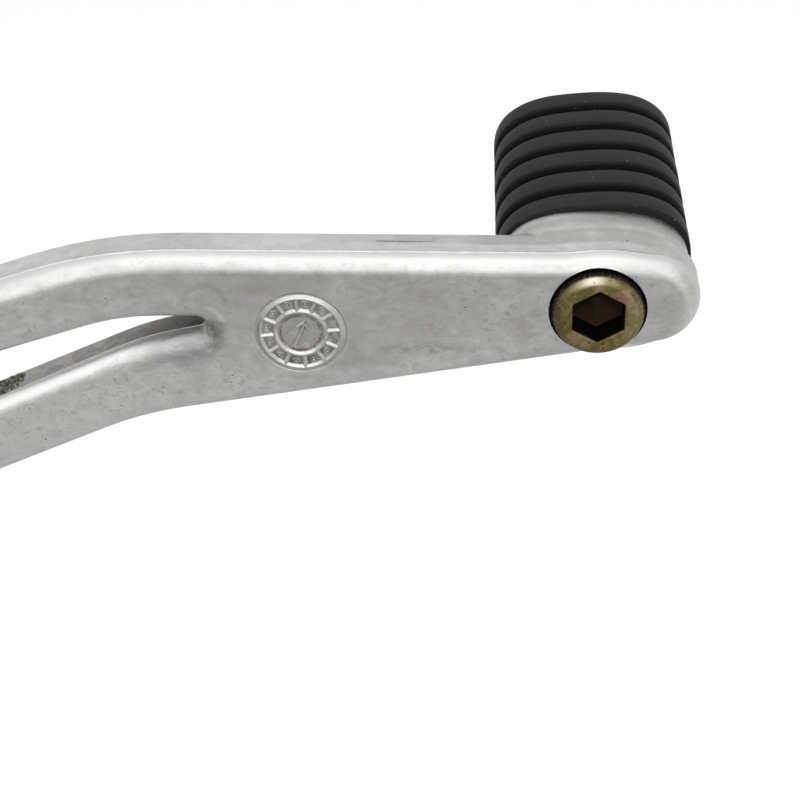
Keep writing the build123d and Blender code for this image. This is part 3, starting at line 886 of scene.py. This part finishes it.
knurled = pick(toe_screw, "verts", in_knurl)
slimmer = 1 - knurl_depth / head_radius
bpy.ops.transform.resize(value=(slimmer, 1.0, slimmer), center_override=(0.0, 0.0, 0.0))
only(toe_screw)
carve(toe_screw, socket_tool(7.0, head_top, 4.0, 1))
print("knurled points:", knurled)
settle(toe_screw, "toe_screw", yellow_zinc, "pedal", "toe_peg_bolt", (toe_x, toe_z))

# %% [markdown]
# The pivot screw has a thick shoulder, on which the sleeve sits, and a thinner threaded end that
# goes into the motorcycle's frame. Its low round head keeps the washer on.

# %% Pivot screw
thread_end, pivot_top = pivot_low.y / MM, pivot_high.y / MM
pivot_radius, shoulder, thread = (pivot_high.x - pivot_low.x) / 2 / MM, 6.0, 5.0
under_head, undercut, thread_start = pivot_top - 6.0, 0.7, -1.2
pivot_profile = [(thread - end_chamfer, thread_end), (thread, thread_end + end_chamfer)]
pivot_profile += [(thread, thread_start), (thread - undercut, thread_start)]
pivot_profile += [(thread - undercut, 0.0), (shoulder - 0.3, 0.0), (shoulder, 0.3)]
pivot_profile += [(shoulder, under_head), (pivot_radius, under_head)]
pivot_profile += round_edge(pivot_radius, pivot_top, 1.6, -1)
pivot_screw = screw_body(pivot_profile, 72)
roll_thread(pivot_screw, thread_end + end_chamfer, thread_start, thread, 1.5)
carve(pivot_screw, socket_tool(8.0, pivot_top, 3.6, -1))
settle(pivot_screw, "pivot_screw", white_zinc, "pivot", "pivot_bolt")

# %% [markdown]
# The stop screw lies along X below the hub, with a six-sided head and a lock nut. Forged heads have
# their corners turned off at thirty degrees, which leaves the curved lines seen on every nut: the
# six-sided block is cut by keeping only what is inside a round body with a conical end. Each piece
# is drawn along Y and then laid along X by swapping the axes round.

# %% Stop screw and lock nut
def six_sided(flats, low, high, both):
    """A hexagonal block with its corners turned off at its high end, or at both ends."""
    block = screw_body([(corner_of(flats), low), (corner_of(flats), high)], 6)
    wide, end_face = corner_of(flats) + 0.2, flats / 2 * 0.95
    drop = (wide - end_face) * math.tan(math.pi / 6)
    start = [(end_face, low), (wide, low + drop)] if both else [(wide, low)]
    carve(block, screw_body(start + [(wide, high - drop), (end_face, high)], 96), "INTERSECT")
    return block


stop_y, stop_z = (stop_low.y + stop_high.y) / 2, (stop_low.z + stop_high.z) / 2
turn_to_x = Matrix(((0, 1, 0, 0), (0, 0, 1, 0), (1, 0, 0, 0), (0, 0, 0, 1)))
lay_along_x = Matrix.Translation((0.0, stop_y, 0.0)) @ turn_to_x
stop_tip, stop_top = stop_low.x / MM, stop_high.x / MM
stop_radius, stop_chamfer, thread_gap = 3.0, 0.7, 0.6
flats = (stop_high.z - stop_low.z) / MM
head_low = stop_top - 4.0
stop_head = six_sided(flats, head_low, stop_top, False)
stop_profile = [(stop_radius - stop_chamfer, stop_tip), (stop_radius, stop_tip + stop_chamfer)]
stop_profile += [(stop_radius, head_low - thread_gap), (stop_radius, head_low + 1.0)]
stop_piece = screw_body(stop_profile, 48)
roll_thread(stop_piece, stop_tip + stop_chamfer, head_low - thread_gap, stop_radius, 1.0)
carve(stop_piece, stop_head, "UNION")
stop_piece.data.transform(lay_along_x)
settle(stop_piece, "stop_screw_made", white_zinc, "pedal", "stop_screw", (0.0, stop_z))

nut_start, nut_end, nut_bore, nut_mouth = nut_low.x / MM, nut_high.x / MM, 3.04, 3.5
nut = six_sided(flats, nut_start, nut_end, True)
hole = [(nut_mouth, nut_start - 0.1), (nut_bore, nut_start + 0.4)]
hole += [(nut_bore, nut_end - 0.4), (nut_mouth, nut_end + 0.1)]
carve(nut, screw_body(hole, 48))
nut.data.transform(lay_along_x)
settle(nut, "lock_nut_made", white_zinc, "pedal", "stop_lock_nut", (0.0, stop_z))

# %% [markdown]
# ## The return spring
#
# A torsion spring is wire wound round a bar, with both ends left long and bent. In Blender a circle
# as thick as the wire is swept by a Screw modifier. The open rings at its ends are then extruded
# along the legs and spun round the bends. One leg stands in the motorcycle's frame and the other
# hooks under the lever's upper arm; the spring itself is hung on no body.

# %% Wound coil
wire, coil_radius, coil_turns, coil_pitch, coil_start = 1.25, 16.85, 3.25, 2.7, 2.0
leg_bend, foot_reach, foot_depth, hook_depth = 3.5, 22.0, 6.0, 9.0
hook_x, hook_z, steps_per_turn = 31.99, 16.48, 48
exit_angle = math.atan2(hook_z, hook_x) + math.acos(coil_radius / math.hypot(hook_x, hook_z))
entry_angle = exit_angle + 2 * math.pi * coil_turns
climb = math.atan(coil_pitch / (2 * math.pi * coil_radius))


def on_coil(angle, y):
    return Vector((coil_radius * math.cos(angle), y, coil_radius * math.sin(angle))) * MM


def wire_run(angle):
    """The way the wire runs at an angle of the coil, from the foot to the hook."""
    level = Vector((math.sin(angle), 0.0, -math.cos(angle)))
    return level * math.cos(climb) + Vector((0.0, math.sin(climb), 0.0))


entry = on_coil(entry_angle, coil_start)
leave = on_coil(exit_angle, coil_start + coil_turns * coil_pitch)
spring = added(bpy.ops.mesh.primitive_circle_add, vertices=20, radius=wire * MM, location=entry)
apply_place(spring)
coil = spring.modifiers.new("coil", "SCREW")
coil.axis, coil.angle = "Y", 2 * math.pi * coil_turns
coil.screw_offset = coil_pitch * coil_turns * MM
coil.steps = coil.render_steps = round(steps_per_turn * coil_turns)
bpy.ops.object.modifier_apply(modifier=coil.name)
print("coil from", [[round(c / MM, 2) for c in corner] for corner in corners_of(spring)])


# %% Legs of the spring
def draw_leg(ring_middle, run, length, turn_to, last):
    """Extrudes an open end of the wire, spins it round a bend and closes it."""
    edit(spring)

    def at_end(edge):
        near = all((vertex.co - ring_middle).length < 1.2 * wire * MM for vertex in edge.verts)
        return near and edge.is_boundary

    pick(spring, "edges", at_end)
    straight = run * (length - leg_bend) * MM
    extrude(straight)
    centre = ring_middle + straight + turn_to * leg_bend * MM
    axis = turn_to.cross(run).normalized()
    bpy.ops.mesh.spin(steps=10, angle=math.pi / 2, center=centre, axis=axis)
    extrude(turn_to * (last - leg_bend) * MM)
    bpy.ops.mesh.edge_face_add()
    only(spring)


hook_length = math.dist((hook_x, hook_z), (leave.x / MM, leave.z / MM))
draw_leg(entry, -wire_run(entry_angle), foot_reach, Vector((0, -1, 0)), foot_depth)
draw_leg(leave, wire_run(exit_angle), hook_length, Vector((0, 1, 0)), hook_depth)
settle(spring, "sprung_wire", spring_steel, None, "return_spring")
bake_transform(spring)

# %% [markdown]
# ## The date wheel
#
# Castings often carry a small wheel, pressed by an insert in the mould: a ring of twelve fields
# with a dot punched for each month, and an arrow. It stands out by less than half a millimetre, so
# a flat disc is drawn out into two low rims, and a sloped bar is copied round it for the ribs. Each
# dot is a dome inside a fine ring. The numbers of the real one are left out.

# %% Rims, bars and dots
rim_profile = [(6.2, 0.1), (6.2, 0.0), (5.8, -0.4), (5.65, -0.4), (5.3, -0.04)]
rim_profile += [(4.05, -0.04), (3.7, -0.4), (3.45, -0.4), (3.05, -0.04)]
wheel = screw_body([(r, face + y) for r, y in rim_profile], 144)
on_face = (0.0, face * MM, 0.0)


def bar(length, width, height):
    """A low bar with sloped sides, lying along X on the lever's face."""
    piece = added(bpy.ops.mesh.primitive_cube_add, size=MM, location=on_face)
    apply_place(piece)
    edit_all(piece)
    bpy.ops.transform.resize(value=(length, 2 * height, width), center_override=on_face)
    pick(piece, "faces", lambda part: part.normal.y < -0.9)
    bpy.ops.transform.resize(value=(1.0, 1.0, 0.12), center_override=on_face)
    only(piece)
    return piece


wheel_parts = []


def copy_out(piece, angles, reach, middle=(0.0, 0.0)):
    """Sets copies out from a middle, each at its angle and pointing that way."""
    for angle in angles:
        twin = bpy.data.objects.new(piece.name, piece.data.copy())
        bpy.context.scene.collection.objects.link(twin)
        spin = Matrix.Rotation(-angle, 4, "Y")
        shift = Matrix.Translation((middle[0] * MM, 0.0, middle[1] * MM))
        twin.data.transform(shift @ spin @ Matrix.Translation((reach * MM, 0.0, 0.0)))
        wheel_parts.append(twin)
    bpy.data.objects.remove(piece)


field_count, dot_count, rib_reach, dot_reach = 12, 11, 4.7, 4.85
field_angle, first_rib = math.radians(30), math.radians(5)
rib_angles = [first_rib + field_angle * k for k in range(field_count)]
dot_angles = [first_rib + field_angle * (k + 0.5) for k in range(dot_count)]
copy_out(bar(1.8, 1.6, 0.42), rib_angles, rib_reach)
dome_sizes = {"segments": 14, "ring_count": 8, "radius": 0.2 * MM}
ring_sizes = {"major_segments": 24, "minor_segments": 8, "rotation": (math.pi / 2, 0, 0)}
ring_sizes |= {"major_radius": 0.44 * MM, "minor_radius": 0.12 * MM}
dome = added(bpy.ops.mesh.primitive_uv_sphere_add, location=on_face, **dome_sizes)
ring = added(bpy.ops.mesh.primitive_torus_add, location=on_face, **ring_sizes)
for piece in (dome, ring):
    apply_place(piece)
    copy_out(piece, dot_angles, dot_reach)
print("ribs, domes and rings:", len(wheel_parts))

# %% The arrow, and the whole wheel
arrow_way, barb_turn, arrow_height, tip_reach = math.radians(68), math.radians(146), 0.36, 2.0
copy_out(bar(4.2, 1.3, arrow_height), [arrow_way], 0.0)
tip = (tip_reach * math.cos(arrow_way), tip_reach * math.sin(arrow_way))
copy_out(bar(1.5, 1.2, arrow_height), [arrow_way - barb_turn, arrow_way + barb_turn], 0.65, tip)
only(wheel)
for piece in wheel_parts:
    piece.select_set(True)
bpy.ops.object.join()
print("parts joined into the wheel:", len(wheel_parts))
settle(wheel, "date_wheel", cast_aluminium, "pedal", None, (wheel_x * MM, wheel_z * MM))

# %% [markdown]
# ## Caked dirt
#
# Road dirt has dried in the window, on the wall of the lower arm, where no rag reaches. It is a
# thin crust, so a finely divided sheet is laid along that wall. Noise lifts it where dirt lies;
# elsewhere, and at the rounded back edge, it sinks into the metal. A Solidify modifier closes it.

# %% Dirt crust
dirt = Finish("road_dirt")
clods = dirt.noise(2.2, 4.0, 0.6)
crumbs = dirt.noise(6.0, 4.0, 0.6)
dirt_stops = [
    (0.38, (0.02, 0.019, 0.014, 1.0)),
    (0.50, (0.13, 0.128, 0.095, 1.0)),
    (0.62, (0.36, 0.37, 0.3, 1.0)),
]
dirt_colour = dirt.node("ShaderNodeValToRGB", {"stops": dirt_stops}, {0: clods})
road_dirt = dirt.close(dirt_colour, 0.85 + crumbs * 0.1, crumbs * 0.1 + clods * 0.25)
crust = added(bpy.ops.mesh.primitive_grid_add, x_subdivisions=150, y_subdivisions=54, size=1.0)
crust_start, crust_end, crust_low, crust_high = 44.0, 59.0, 15.0, 20.8
wall_x, wall_z, wall_slope, back_y = 2.737, -5.951, 0.45993, 22.0 - edge_round
crust_lift, crust_sink, crust_thickness, lump_size = 0.32, 0.1, 0.35 * MM, 1.5


def smooth_step(value):
    value = min(max(value, 0.0), 1.0)
    return value * value * (3 - 2 * value)


for vertex in crust.data.vertices:
    x = crust_start + (crust_end - crust_start) * (vertex.co.x + 0.5)
    y = crust_low + (crust_high - crust_low) * (vertex.co.y + 0.5)
    over_edge = max(y - back_y, 0.0)
    z = wall_z + wall_slope * (x - wall_x) - edge_round + math.sqrt(edge_round**2 - over_edge**2)
    front_end = smooth_step((y - 15.4 - max(x - 55.8, 0.0) * 0.9) / 1.2)
    cover = front_end * smooth_step((57.9 - x) / 1.6) * smooth_step((x - 44.5) / 4)
    lumpy = noise.fractal(Vector((x, y, 0.0)) * lump_size, 0.9, 2.1, 4)
    height = crust_lift * cover * (0.75 + lumpy) - crust_sink - 0.25 * smooth_step(y - 19.4)
    vertex.co = Vector((x, y, z + height)) * MM
only(crust)
thicken = crust.modifiers.new("thicken", "SOLIDIFY")
thicken.thickness, thicken.offset = crust_thickness, -1.0
bpy.ops.object.modifier_apply(modifier=thicken.name)
settle(crust, "dirt_crust", road_dirt, "pedal")
